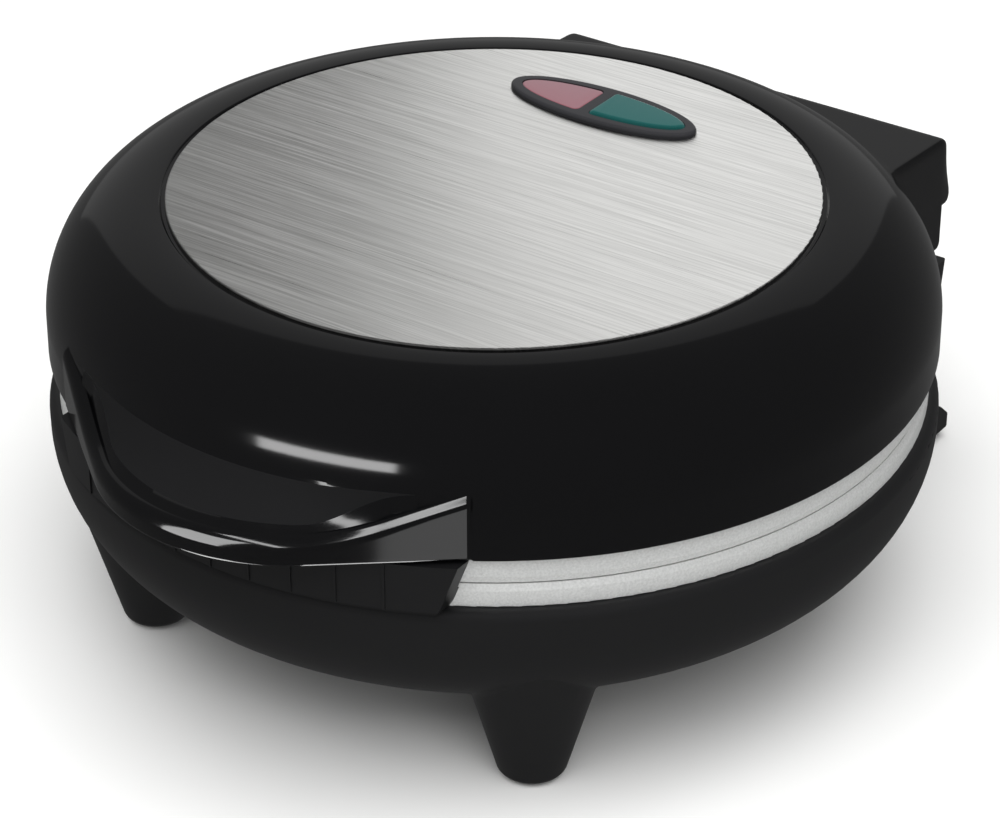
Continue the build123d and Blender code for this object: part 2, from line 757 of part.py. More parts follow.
with BuildPart() as base_shell:
    add(base_outside)
    add(bowl_inside, mode=Mode.SUBTRACT)
    add(feet_inside, mode=Mode.SUBTRACT)
    # Screw posts, open from below for the heads
    with BuildSketch(Plane.XY.offset(14)):
        with PolarLocations(base_post_radius, 3, start_angle=30):
            Circle(5.6)
    extrude(amount=pan_z - 14)
    with BuildSketch(Plane.XY.offset(5)):
        with PolarLocations(base_post_radius, 3, start_angle=30):
            Circle(4.2)
    extrude(amount=15, mode=Mode.SUBTRACT)
    with BuildSketch(Plane.XY.offset(5)):
        with PolarLocations(base_post_radius, 3, start_angle=30):
            Circle(screw_shank_radius)
    extrude(amount=pan_z, mode=Mode.SUBTRACT)
    # Pillars under the terminal block
    with BuildSketch(Plane.XY.offset(18)):
        with Locations((-12, 76), (12, 76)):
            Circle(3.2)
    extrude(amount=8)
    # Vents in the flat bottom
    with BuildSketch(Plane.XY.offset(base_bottom_z - 1)):
        with GridLocations(9.0, 30.0, 7, 2):
            SlotOverall(24, 3.0, rotation=90)
    extrude(amount=wall + 2, mode=Mode.SUBTRACT)
    # Recess for each rubber pad
    with BuildSketch(Plane.XY.offset(pad_proud)):
        with Locations(*foot_places):
            Circle(pad_radius)
    extrude(amount=pad_height - pad_proud, mode=Mode.SUBTRACT)
    # Way out for the cord behind
    with BuildSketch(Plane.XZ.offset(-95)):
        with Locations((0, cord_z)):
            Circle(cord_bore_radius)
    extrude(amount=-25, mode=Mode.SUBTRACT)
base_shell.part.label = "base_shell"
export_step(base_shell.part, "parts/base_shell.step")

# Rubber pads under the feet
for (x, y), name in zip(foot_places, ("front_left", "rear_left", "front_right", "rear_right")):
    with BuildPart() as pad:
        with BuildSketch(Plane.XY):
            with Locations((x, y)):
                Circle(pad_radius)
        extrude(amount=pad_height)
        fillet(pad.edges().sort_by(Axis.Z)[0], radius=0.5)
    pad.part.label = f"foot_pad_{name}"
    export_step(pad.part, f"parts/foot_pad_{name}.step")

# Screws that hold the base shell to the lower pan
base_screw_places = [on_arc((0, 0), base_post_radius, angle) for angle in (30, 150, 270)]
base_screws = pan_head_screw(base_screw_places, 20, 22, 1)
base_screws.label = "base_screws"
export_step(base_screws, "parts/base_screws.step")

# Lower flange of the cord spool: a lip that flares out and down
with BuildPart() as spool_lip:
    with BuildSketch(Plane.YZ) as lip:
        with BuildLine():
            Polyline(
                (80, 21),
                (113.0, 20.0),
                (117.0, 16.0),
                (124.0, 11.4),
                (129.2, 6.6),
                (129.6, 3.2),
                (80, 3.2),
                close=True,
            )
        make_face()
        fillet(lip.vertices().group_by(Axis.X)[-1], radius=0.9)
    extrude(amount=lip_half_width + 1, both=True)
    with BuildSketch(Plane.XY) as lip_plan:
        with Locations((0, 75)):
            Rectangle(2 * lip_half_width, 55, align=(Align.CENTER, Align.MIN))
        fillet(lip_plan.vertices().group_by(Axis.Y)[-1], radius=2.4)
    extrude(amount=30, mode=Mode.INTERSECT)

# Upper flange of the cord spool, its rear face leaning out to the top
with BuildPart() as spool_top:
    with BuildSketch(Plane.YZ):
        with BuildLine():
            Polyline(
                (90, flange_bottom[1]),
                flange_bottom,
                (flange_top_y, block_top_z),
                (90, block_top_z),
                close=True,
            )
        make_face()
    extrude(amount=block_half_width, both=True)
    rear_edges = spool_top.edges().filter_by(lambda e: e.center().Y > 120)
    corners = rear_edges.filter_by(lambda e: abs(e.center().X) > block_half_width - 1)
    fillet(corners, radius=1.0)

# Rear block: cord spool with two flanges, hinge upstands on top, fitted round the bowl
with BuildPart() as hinge_block:
    add(spool_top)
    with BuildSketch(Plane.XY.offset(12)) as neck:
        with Locations((0, 80)):
            Rectangle(2 * neck_half_width, neck_rear_y - 80, align=(Align.CENTER, Align.MIN))
        fillet(neck.vertices().group_by(Axis.Y)[-1], radius=6)
    extrude(amount=34)
    add(spool_lip)
    for side in (-1, 1):
        with BuildSketch(Plane.YZ.offset(side * base_knuckle_inner_x)) as upstand:
            with Locations((115.6, 50)):
                Rectangle(6.4, hinge_z - 50, align=(Align.CENTER, Align.MIN))
            with Locations((hinge_y, hinge_z)):
                Circle(knuckle_radius)
            with BuildLine():
                Polyline(
                    (112.4, hinge_z),
                    (114.0, hinge_z + 3.4),
                    (118.5, hinge_z + 3.8),
                    (118.8, hinge_z - 6),
                    (112.4, hinge_z - 6),
                    close=True,
                )
            make_face()
        extrude(amount=side * (base_knuckle_outer_x - base_knuckle_inner_x))
    add(base_outside, mode=Mode.SUBTRACT)
    with BuildSketch(Plane.XY):
        Circle(96)
    extrude(amount=70, mode=Mode.SUBTRACT)
    for side in (-1, 1):
        with BuildSketch(Plane.YZ.offset(side * (base_knuckle_inner_x - 1))):
            with Locations((hinge_y, hinge_z)):
                Circle(pin_radius)
        extrude(amount=side * 20, mode=Mode.SUBTRACT)
    # Bore for the cord bushing
    with BuildSketch(Plane.XZ.offset(-90)):
        with Locations((0, cord_z)):
            Circle(cord_bore_radius)
    extrude(amount=-30, mode=Mode.SUBTRACT)
hinge_block.part.label = "hinge_block"
export_step(hinge_block.part, "parts/hinge_block.step")

# Hinge pins, pressed in the block and running in the lid's ears
for name, side in (("left_hinge_pin", -1), ("right_hinge_pin", 1)):
    with BuildPart() as pin:
        with BuildSketch(Plane.YZ.offset(side * base_knuckle_inner_x)):
            with Locations((hinge_y, hinge_z)):
                Circle(pin_radius)
        extrude(amount=side * (pin_end_x - base_knuckle_inner_x))
        chamfer(pin.edges().filter_by(GeomType.CIRCLE), length=0.3)
    pin.part.label = name
    export_step(pin.part, f"parts/{name}.step")

# Rubber bushing where the cord leaves the base
with BuildPart() as cord_bushing:
    with BuildSketch(Plane.XZ.offset(-97)):
        with Locations((0, cord_z)):
            Circle(cord_bore_radius)
    extrude(amount=-17)
    with BuildSketch(Plane.XZ.offset(-114)):
        with Locations((0, cord_z)):
            Circle(8.0)
    extrude(amount=-3.0)
    fillet(cord_bushing.edges().sort_by(Axis.Y)[-1], radius=1.0)
    with BuildSketch(Plane.XZ.offset(-90)):
        with Locations((0, cord_z)):
            Circle(3.4)
    extrude(amount=-40, mode=Mode.SUBTRACT)
cord_bushing.part.label = "cord_bushing"
export_step(cord_bushing.part, "parts/cord_bushing.step")

# Terminal block on its pillars
with BuildPart() as terminal_block:
    with BuildSketch(Plane.XY.offset(26)) as block_plan:
        with Locations((0, 76)):
            Rectangle(36, 14)
        fillet(block_plan.vertices(), radius=1.5)
    extrude(amount=11)
    with BuildSketch(Plane.XY.offset(31)):
        with Locations((-12, 76), (0, 76), (12, 76)):
            Circle(3.8)
    extrude(amount=10, mode=Mode.SUBTRACT)
    with BuildSketch(Plane.XY.offset(28)):
        with Locations((-12, 76), (0, 76), (12, 76)):
            Circle(screw_shank_radius)
    extrude(amount=4, mode=Mode.SUBTRACT)
terminal_block.part.label = "terminal_block"
export_step(terminal_block.part, "parts/terminal_block.step")

terminal_screws = pan_head_screw(((-12, 76), (0, 76), (12, 76)), 31, 3, -1)
terminal_screws.label = "terminal_screws"
export_step(terminal_screws, "parts/terminal_screws.step")

# Bimetal thermostat against the left pocket
with BuildPart() as thermostat:
    with BuildSketch(Plane.XY.offset(pocket_underside_z - 3)):
        with Locations((-38, 0)):
            Circle(8.5)
    extrude(amount=3)
    with BuildSketch(Plane.XY.offset(pocket_underside_z - 6.8)):
        with Locations((-38, 0)):
            Circle(7.6)
    extrude(amount=3.8)
    with BuildSketch(Plane.XY.offset(pocket_underside_z - 8.1)):
        with Locations((-43, 0), (-33, 0)):
            Rectangle(1.0, 5.0)
    extrude(amount=2.0)
thermostat.part.label = "thermostat"
export_step(thermostat.part, "parts/thermostat.step")

# Thermal fuse in its sleeve against the right pocket, one in each half
with BuildPart() as lower_thermal_fuse:
    with BuildSketch(Plane.XZ.offset(-9)):
        with Locations((38, pocket_underside_z - 2.4)):
            Circle(2.4)
    extrude(amount=18)
    with BuildSketch(Plane.XZ.offset(-16)):
        with Locations((38, pocket_underside_z - 2.4)):
            Circle(0.6)
    extrude(amount=32)
lower_thermal_fuse.part.label = "lower_thermal_fuse"
export_step(lower_thermal_fuse.part, "parts/lower_thermal_fuse.step")

with BuildPart() as upper_thermal_fuse:
    mirror(lower_thermal_fuse.part, about=mirror_plane)
upper_thermal_fuse.part.label = "upper_thermal_fuse"
export_step(upper_thermal_fuse.part, "parts/upper_thermal_fuse.step")

# Front grip of the base: a curved wall under the handle with fine upright fins
with BuildPart() as front_grip:
    with BuildSketch(Plane.XY.offset(57.5)):
        Circle(113.2)
        Circle(rim_radius, mode=Mode.SUBTRACT)
    extrude(amount=7)
    with BuildSketch(Plane.XY.offset(grip_bottom_z)):
        Circle(grip_outer)
        Circle(rim_radius, mode=Mode.SUBTRACT)
    extrude(amount=grip_top_z - grip_bottom_z)
    for step in range(-4, 5):
        with BuildSketch(Plane.XY.offset(grip_bottom_z)):
            with Locations((step * grip_fin_pitch, -80)):
                Rectangle(grip_fin_width, 40, align=(Align.CENTER, Align.MAX))
            Circle(grip_outer + grip_fin_proud, mode=Mode.INTERSECT)
            Circle(rim_radius + 1, mode=Mode.SUBTRACT)
        extrude(amount=grip_top_z - grip_bottom_z)
    # Elevation of the wall: slanted ends with a rounded lower corner
    with BuildSketch(Plane.XZ.offset(60)) as elevation:
        with BuildLine():
            Polyline((-54.0, 57.5), (54.0, 57.5), (59.6, grip_top_z + 1), (-59.6, grip_top_z + 1), close=True)
        make_face()
        fillet(elevation.vertices().group_by(Axis.Y)[0], radius=9)
    extrude(amount=70, mode=Mode.INTERSECT)
    # Clear of the upper rim
    with BuildSketch(Plane.XY.offset(plate_top_z - 0.3)):
        Circle(rim_radius + 0.7)
    extrude(amount=20, mode=Mode.SUBTRACT)
    add(base_outside, mode=Mode.SUBTRACT)
front_grip.part.label = "front_grip"
export_step(front_grip.part, "parts/front_grip.step")
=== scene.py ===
import bpy
import bmesh
from math import asin, atan2, cos, degrees, hypot, pi, radians, sin, sqrt
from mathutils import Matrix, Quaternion, Vector


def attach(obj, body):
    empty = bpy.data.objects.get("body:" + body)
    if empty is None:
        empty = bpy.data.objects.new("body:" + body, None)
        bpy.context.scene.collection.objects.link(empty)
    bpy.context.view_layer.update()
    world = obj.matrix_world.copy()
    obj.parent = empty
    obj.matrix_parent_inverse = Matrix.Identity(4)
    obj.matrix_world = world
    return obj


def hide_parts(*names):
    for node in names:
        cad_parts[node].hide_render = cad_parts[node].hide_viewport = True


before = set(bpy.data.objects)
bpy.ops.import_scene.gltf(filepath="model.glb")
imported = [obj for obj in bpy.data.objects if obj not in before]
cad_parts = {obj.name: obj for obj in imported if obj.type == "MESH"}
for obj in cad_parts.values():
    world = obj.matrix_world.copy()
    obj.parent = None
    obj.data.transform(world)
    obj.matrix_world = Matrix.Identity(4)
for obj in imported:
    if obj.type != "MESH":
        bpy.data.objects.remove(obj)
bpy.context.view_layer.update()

# An omelette maker with a glossy black lid, a brushed disc, a silver waist and a satin black base.
# Lengths in the tables are millimetres; everything in Blender is metres.
MM = 0.001

# Lid sizes, as the solid has them
DOME_CENTRE = (84.0, 83.7)
DOME_ROUND = 29.0
LID_RADIUS = 113.0
LID_EDGE = 74.8
SKIN = 2.6
RECESS_RADIUS = 83.2
RECESS_FLOOR = 112.0
WEB_UNDERSIDE = 109.4
WEB_REACH = 80.0        # radius at which the lid's section stops under the disc
HOLLOW_FROM = 3.2       # how far an outline stands out before there is a hollow behind it
HOLLOW_OVER = 2.5       # and the distance over which the hollow opens

# Handle sizes
NOSE_CENTRE_Y = -80.5
NOSE_RADIUS = 49.96
FLANK_LEAN = 38.7
FLANK_LENGTH = 37.9
HANDLE_EDGE = 75.4
COVER_PROUD = 0.1
LIP_WIDTH = 3.4
LIP_PROUD = 0.5
LIP_LEVEL = 82.2
LIP_LOW_X = 26.9
LIP_HIGH_X = 44.7
LIP_SLOPE = 0.42
FLANK_ROUND = 1.2
CREASE = (112.0, 91.4)
DISH_RADIUS = 30.0
DISH_SWING = 26.0
CROWN_START = 0.09      # radians at which the lip's crown begins
FLAT_MIN = 0.05         # shortest run of dish between crease and lip
SATIN_SHARE = 0.8       # share of the dish that is satin
SATIN_SWING = 14.0      # degrees at which the satin begins to narrow

# Hood sizes
HOOD_HALF = 61.0
HOOD_FRONT = (84.0, 95.1)
HOOD_CREST = (126.7, 92.8)
HOOD_HEEL = (131.6, 71.8)
HOOD_EDGE_ROUND = 3.0
HOOD_HEEL_REACH = 7.7
EAR_INNER_X = 46.0
EAR_Y = (112.5, 125.3)
EAR_Z = (60.0, 74.8)
EAR_ROUND = 1.8

# Camera fitted to the photo: place and direction in metres, lens in millimetres
CAMERA_PLACE = (0.4442, -0.6344, 0.5061)
CAMERA_WAY = (-0.4925, 0.7062, -0.5087)
CAMERA_LENS = 125.09


def on_arc(centre, radius, angle):
    """Point of a circle, angle in radians from the horizontal."""
    return (centre[0] + radius * cos(angle), centre[1] + radius * sin(angle))


def mix(a, b, t):
    return a + (b - a) * t


def ease(x):
    """0 to 1 with soft ends."""
    x = min(1.0, max(0.0, x))
    return x * x * (3 - 2 * x)


def line(a, b, count):
    """Points from a to b, the last one left out."""
    return [(mix(a[0], b[0], i / count), mix(a[1], b[1], i / count)) for i in range(count)]


def arc(centre, radius, start, end, count):
    """Points of an arc, the last one left out; angles in radians."""
    return [on_arc(centre, radius, mix(start, end, i / count)) for i in range(count)]


def corner(before, at, after, radius, count):
    """Rounded corner of a polyline: count points on a quadratic curve that touches both sides."""
    points = []
    for other in (before, after):
        gap = hypot(other[0] - at[0], other[1] - at[1])
        reach = min(radius, 0.45 * gap) / max(gap, 1e-9)
        points.append((mix(at[0], other[0], reach), mix(at[1], other[1], reach)))
    curve = []
    for i in range(count):
        t = i / (count - 1)
        p = (mix(points[0][0], at[0], t), mix(points[0][1], at[1], t))
        q = (mix(at[0], points[1][0], t), mix(at[1], points[1][1], t))
        curve.append((mix(p[0], q[0], t), mix(p[1], q[1], t)))
    return curve


# Number of points on each stretch of the lid's section
N_SHOULDER = 26
N_DISH = 14
N_REACH = 18
N_CREST = 12
N_WALL = 7
N_FOOT = 6
N_INNER = 6
N_JOIN = 5


def opened(reach):
    """0 where an outline is too close to the dome for a hollow, 1 where the hollow is full."""
    return ease((reach - LID_RADIUS - HOLLOW_FROM) / HOLLOW_OVER)


def inside_of(outer_radius, top_z, foot_z, hollow):
    """Section of the inner side: up behind the wall, in under the top, down the dome's own wall and up inside it.
    hollow is 1 where a hollow lies outside the dome's wall and 0 where there is none."""
    inner = LID_RADIUS - SKIN
    dome_round = DOME_ROUND - SKIN
    plain = line((inner, LID_EDGE), (inner, DOME_CENTRE[1]), 3 * N_INNER + 1)
    back = max(outer_radius - SKIN, LID_RADIUS + 0.1)
    roof = top_z - SKIN
    path = line((back, foot_z), (back, roof), N_INNER)
    path += line((back, roof), (LID_RADIUS, roof), N_INNER)
    path += line((LID_RADIUS, roof), (LID_RADIUS, LID_EDGE), N_INNER)
    path += [(LID_RADIUS, LID_EDGE)]
    points = [(mix(a[0], b[0], hollow), mix(a[1], b[1], hollow)) for a, b in zip(plain, path)]
    points += line((inner, mix(DOME_CENTRE[1], LID_EDGE, hollow)), (inner, DOME_CENTRE[1] + 0.01), 2)
    points += arc(DOME_CENTRE, dome_round, 0.0, pi / 2, N_INNER * 2)
    points += [(DOME_CENTRE[0], DOME_CENTRE[1] + dome_round), (WEB_REACH, WEB_UNDERSIDE)]
    return points


def top_of(shoulder_end):
    """Section from under the disc over the recess rim and down the shoulder to an angle."""
    points = [(WEB_REACH, RECESS_FLOOR), (RECESS_RADIUS - 0.3, RECESS_FLOOR), (RECESS_RADIUS, RECESS_FLOOR + 0.2)]
    points += [(RECESS_RADIUS, RECESS_FLOOR + 0.45), (RECESS_RADIUS + 0.25, RECESS_FLOOR + 0.66)]
    points += arc(DOME_CENTRE, DOME_ROUND, pi / 2, shoulder_end, N_SHOULDER)
    return points


def plain_section():
    """Section of the lid where there is only the dome."""
    crease = atan2(CREASE[1] - DOME_CENTRE[1], CREASE[0] - DOME_CENTRE[0])
    points = top_of(crease)
    points += arc(DOME_CENTRE, DOME_ROUND, crease, 0.06, N_REACH + N_CREST)
    foot = (LID_RADIUS, LID_EDGE)
    points += line(on_arc(DOME_CENTRE, DOME_ROUND, 0.06), (LID_RADIUS, LID_EDGE + 1.2), N_WALL)
    points += corner((LID_RADIUS, LID_EDGE + 3), foot, (LID_RADIUS - SKIN, LID_EDGE), 0.7, N_FOOT)
    return points + inside_of(LID_RADIUS, 90.0, LID_EDGE, 0.0)


def dome_radius(z):
    """Radius of the dome's outside at a height."""
    if z < DOME_CENTRE[1]:
        return LID_RADIUS
    return DOME_CENTRE[0] + sqrt(DOME_ROUND**2 - min(z - DOME_CENTRE[1], DOME_ROUND) ** 2)


def handle_reach(swing):
    """Distance of the handle's outline from the lid's axis, swing degrees away from straight ahead."""
    swing = abs(swing)
    to_end = radians(handle_end() - swing) * LID_RADIUS
    if to_end < FLANK_ROUND:
        pulled = FLANK_ROUND - sqrt(max(FLANK_ROUND**2 - (FLANK_ROUND - to_end) ** 2, 0.0))
        return flank_reach(swing) - pulled
    return flank_reach(swing)


def flank_reach(swing):
    """Distance of the outline before its end is rounded."""
    lean = radians(FLANK_LEAN)
    touch = (NOSE_RADIUS * sin(lean), -NOSE_CENTRE_Y + NOSE_RADIUS * cos(lean))
    if swing < degrees(atan2(touch[0], touch[1])):
        across = -NOSE_CENTRE_Y * sin(radians(swing))
        return -NOSE_CENTRE_Y * cos(radians(swing)) + sqrt(NOSE_RADIUS**2 - across**2)
    offset = touch[0] * sin(lean) + touch[1] * cos(lean)
    return offset / cos(lean - radians(swing))


def handle_end():
    """Swing in degrees at which the handle's flank ends."""
    lean = radians(FLANK_LEAN)
    x = NOSE_RADIUS * sin(lean) + FLANK_LENGTH * cos(lean)
    y = -NOSE_CENTRE_Y + NOSE_RADIUS * cos(lean) - FLANK_LENGTH * sin(lean)
    return degrees(atan2(x, y))


def lip_height(x):
    """Height of the lip's crown: level across the nose, then rising along the flanks."""
    bend = min(max(abs(x) - LIP_LOW_X, 0.0), LIP_HIGH_X - LIP_LOW_X)
    rise = bend**2 / (2 * (LIP_HIGH_X - LIP_LOW_X)) + max(abs(x) - LIP_HIGH_X, 0.0)
    return LIP_LEVEL + LIP_SLOPE * rise


def lip_width(swing, reach):
    """Width of the lip along a radius, wider where the outline runs askew to it."""
    outward = asin(min(reach * sin(radians(abs(swing))) / NOSE_RADIUS, sin(radians(FLANK_LEAN))))
    return LIP_WIDTH / cos(outward - radians(abs(swing)))


def crown(inner, width, top, angle):
    """Point on the rounded top of the lip, angle 0 at its inner side and a quarter turn at its outer face."""
    return (inner + width * sin(angle), top - LIP_WIDTH + LIP_WIDTH * cos(angle))


def dish_line(inner, top, shares):
    """Points of the dish's section at shares of the way from the crease down to the lip's inner side."""
    fall = (inner - CREASE[0], top - LIP_PROUD - CREASE[1])
    sag = hypot(*fall) / (2 * DISH_RADIUS)
    points = []
    for t in shares:
        dip = sag * t * (1 - t)
        points.append((CREASE[0] + t * fall[0] + dip * fall[1], CREASE[1] + t * fall[1] - dip * fall[0]))
    return points


def dish_edge(inner, top):
    """The two points where the dish steps up into the lip."""
    return [(inner - 0.05, top - LIP_PROUD), (inner, top - 0.25)]


def lip_line(reach, width, top):
    """Points over the lip's crown, down the outer face and round its lower edge."""
    inner = reach - width
    points = [crown(inner, width, top, mix(CROWN_START, pi / 2, i / (N_CREST - 1))) for i in range(N_CREST)]
    points += line((reach, top - LIP_WIDTH - 0.2), (reach, HANDLE_EDGE + 1.2), N_WALL)
    points += corner((reach, HANDLE_EDGE + 3), (reach, HANDLE_EDGE), (reach - SKIN, HANDLE_EDGE), 0.8, N_FOOT)
    return points


def handle_section(swing):
    """Section of the lid through the handle: shoulder, crease, dish, lip and outer face."""
    swing = min(abs(swing), handle_end())
    reach = handle_reach(swing) - COVER_PROUD
    width = lip_width(swing, reach)
    top = lip_height(reach * sin(radians(swing))) - COVER_PROUD
    inner = reach - width
    crease = atan2(CREASE[1] - DOME_CENTRE[1], CREASE[0] - DOME_CENTRE[0])
    points = top_of(crease)
    if inner > CREASE[0] + FLAT_MIN:
        lip = dish_line(inner, top, [i / (N_REACH - 2) for i in range(N_REACH - 2)])
        lip += dish_edge(inner, top)
    else:
        lip = line(CREASE, crown(inner, width, top, CROWN_START), N_REACH)
    lip += lip_line(reach, width, top)
    if swing > DISH_SWING:
        lip = [(max(r, dome_radius(z)), z) for r, z in lip]
    return points + lip + inside_of(reach, top - LIP_PROUD, HANDLE_EDGE, opened(reach))


def cover_section(swing):
    """Closed section of the handle's skin, a hair outside the moulding: dish, lip and outer face, then back inside."""
    reach = handle_reach(swing)
    width = lip_width(swing, reach)
    top = lip_height(reach * sin(radians(swing)))
    inner = reach - width
    start = (CREASE[0] - 0.2, CREASE[1])
    if inner > CREASE[0] + FLAT_MIN:
        satin = SATIN_SHARE * (1 - 0.95 * ease((abs(swing) - SATIN_SWING) / (DISH_SWING - SATIN_SWING + 0.6)))
        shares = [satin * i / (N_DISH - 1) for i in range(1, N_DISH)]
        shares += [mix(satin, 1, i / (N_REACH - N_DISH - 1)) for i in (1, 2)]
        points = [start] + dish_line(inner, top, shares)
        points += dish_edge(inner, top)
    else:
        points = line((inner - 0.3, top - 1.0), crown(inner, width, top, CROWN_START), N_REACH)
    points += lip_line(reach, width, top)
    inside = reach - SKIN / 2
    points += [(inside, HANDLE_EDGE), (inside, top - 1.8), (min(start[0] + 2, inside - 0.5), top - 2.0)]
    return points


def lip_part(swing):
    """Section of the lip and the outer face."""
    return cover_section(swing)[N_DISH - 1:]


def dish_part(swing):
    """Section of the dish, with a skin of its own under it."""
    points = cover_section(swing)[:N_DISH]
    last, first = points[-1], points[0]
    return points + [(last[0] - 0.4, last[1] - 2.0), (first[0] + 0.6, first[1] - 2.4)]


def hood_limit(swing, z):
    """Distance of the hood's outside from the axis at a height, swing degrees away from straight back."""
    swing = radians(abs(swing))
    rear = HOOD_CREST[0] + (HOOD_CREST[1] - z) * (HOOD_HEEL[0] - HOOD_CREST[0]) / (HOOD_CREST[1] - HOOD_HEEL[1])
    by_side = HOOD_HALF / max(sin(swing), 1e-6)
    by_rear = rear / cos(swing)
    if by_side > by_rear + 6:
        return by_rear
    if by_rear > by_side + 6:
        return by_side
    gap = max(0.0, 3.0 - abs(by_side - by_rear)) / 3.0
    return min(by_side, by_rear) - gap * gap * 3.0 / 4


def hood_rearness(swing):
    """1 where the hood's outside is its rear face, 0 where it is a side."""
    turn = radians(abs(swing))
    gap = HOOD_HALF / max(sin(turn), 1e-6) - HOOD_HEEL[0] / cos(turn)
    return ease(0.5 + gap / 6)


def hood_top(radius, swing):
    """Height of the hood's sloping top."""
    y = radius * cos(radians(swing))
    slope = (HOOD_FRONT[1] - HOOD_CREST[1]) / (HOOD_CREST[0] - HOOD_FRONT[0])
    return HOOD_FRONT[1] - slope * (y - HOOD_FRONT[0])


def hood_join(swing):
    """Angle on the shoulder where the hood's top meets it."""
    angle = 0.3
    for _ in range(12):
        radius = DOME_CENTRE[0] + DOME_ROUND * cos(angle)
        angle = asin(min(1.0, (hood_top(radius, swing) - DOME_CENTRE[1]) / DOME_ROUND))
    return angle


def hood_section(swing):
    """Section of the lid through the hood, or None where the hood is no wider than the dome."""
    join = hood_join(swing)
    joint = on_arc(DOME_CENTRE, DOME_ROUND, join)
    crest_r = hood_limit(swing, HOOD_CREST[1])
    heel_r = hood_limit(swing, HOOD_HEEL[1])
    if crest_r < LID_RADIUS + 0.02:
        return None
    blend = min(3.5, 0.45 * (crest_r - joint[0]))
    bent = join + blend / DOME_ROUND
    points = top_of(bent)
    crest = (crest_r, hood_top(crest_r, swing))
    on_shoulder = on_arc(DOME_CENTRE, DOME_ROUND, bent)
    on_top = (joint[0] + blend, hood_top(joint[0] + blend, swing))
    for i in range(N_JOIN):
        t = i / N_JOIN
        before = (mix(on_shoulder[0], joint[0], t), mix(on_shoulder[1], joint[1], t))
        after = (mix(joint[0], on_top[0], t), mix(joint[1], on_top[1], t))
        points.append((mix(before[0], after[0], t), mix(before[1], after[1], t)))
    heel = (heel_r, HOOD_HEEL[1])
    edge = corner(joint, crest, heel, HOOD_EDGE_ROUND, N_CREST)
    points += line(on_top, edge[0], N_REACH - N_JOIN)
    points += edge
    low_reach = mix(HOOD_EDGE_ROUND, HOOD_HEEL_REACH, hood_rearness(swing))
    low = corner(crest, heel, (heel_r - 18, HOOD_HEEL[1]), low_reach, N_FOOT)
    points += line(edge[-1], low[0], N_WALL + 1)[1:]
    points += low
    return points + inside_of(low[-1][0] + SKIN - 0.2, crest[1], HOOD_HEEL[1], opened(crest_r))


def lid_columns():
    """Azimuths in degrees, closer together where the outline turns."""
    end = handle_end()
    azimuth, columns = 0.0, []
    while azimuth < 359.99:
        columns.append(azimuth)
        behind = abs(azimuth - 90)
        ahead = abs(azimuth - 270)
        step = 1.25
        if 21.5 < behind < 34.5:
            step = 0.25
        elif ahead < end - 1.2:
            step = 0.5
        elif ahead < end + 1.2:
            step = 0.1
        azimuth += step
    return columns


def lid_section(azimuth):
    """Closed section of the lid at an azimuth."""
    plain = plain_section()
    behind = azimuth - 90
    ahead = azimuth - 270
    if abs(behind) < 60:
        hood = hood_section(behind)
        if hood is None:
            return plain
        share = ease((hood_limit(behind, HOOD_CREST[1]) - LID_RADIUS) / 1.2)
        return [(mix(a[0], b[0], share), mix(a[1], b[1], share)) for a, b in zip(plain, hood)]
    end = handle_end()
    if abs(ahead) < end:
        return handle_section(ahead)
    return plain


def linked(name, data):
    """A new object with some data, put into the scene."""
    made = bpy.data.objects.new(name, data)
    bpy.context.collection.objects.link(made)
    return made


def shaded_mesh(name, bm, angle):
    """Mesh made from a bmesh, shaded smooth but for edges sharper than an angle in degrees."""
    for face in bm.faces:
        face.smooth = True
    for edge in bm.edges:
        edge.smooth = len(edge.link_faces) == 2 and edge.calc_face_angle(0.0) <= radians(angle)
    mesh = bpy.data.meshes.new(name)
    bm.to_mesh(mesh)
    bm.free()
    return mesh


def new_piece(name, bm, body, smooth_angle, replaced=()):
    """Turns a bmesh into a piece in metres that rides on a body."""
    bmesh.ops.recalc_face_normals(bm, faces=bm.faces)
    piece = linked(name, shaded_mesh(name, bm, smooth_angle))
    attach(piece, body)
    if replaced:
        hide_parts(*replaced)
    return piece


def ring_at(bm, azimuth, section):
    """Vertices of a closed section stood up at an azimuth in degrees."""
    a = radians(azimuth)
    return [bm.verts.new((r * cos(a) * MM, r * sin(a) * MM, z * MM)) for r, z in section]


def span(bm, ring, after):
    """Faces between two neighbouring rings."""
    for j in range(len(ring)):
        k = (j + 1) % len(ring)
        bm.faces.new((ring[j], after[j], after[k], ring[k]))


def lid_skin():
    """The lid's moulding, swept round the axis section by section."""
    bm = bmesh.new()
    rings = [ring_at(bm, azimuth, lid_section(azimuth)) for azimuth in lid_columns()]
    for i, ring in enumerate(rings):
        span(bm, ring, rings[(i + 1) % len(rings)])
    return bm


def swept(section_of, swings):
    """Closed section swept across the handle and capped at both ends; swings in degrees from straight ahead."""
    bm = bmesh.new()
    rings = [ring_at(bm, 270 + swing, section_of(swing)) for swing in swings]
    for ring, after in zip(rings, rings[1:]):
        span(bm, ring, after)
    bm.faces.new(rings[0])
    bm.faces.new(rings[-1])
    return bm


def lip_skin():
    """The handle's polished lip and outer face, from one flank to the other."""
    end = handle_end() - 0.01
    half = [(end - 0.7) * i / 78 for i in range(78)] + [end - 0.7 + 0.05 * i for i in range(15)]
    return swept(lip_part, [-swing for swing in reversed(half[1:])] + half)


def dish_skin():
    """The satin dish between the crease and the lip."""
    end = DISH_SWING + 0.6
    return swept(dish_part, [mix(-end, end, i / 134) for i in range(135)])


def box(bm, low, high):
    """Adds a box given by two opposite corners in millimetres."""
    middle = [(a + b) / 2 * MM for a, b in zip(low, high)]
    size = [abs(b - a) * MM for a, b in zip(low, high)]
    made = bmesh.ops.create_cube(bm, size=1.0)["verts"]
    bmesh.ops.scale(bm, vec=size, verts=made)
    bmesh.ops.translate(bm, vec=middle, verts=made)


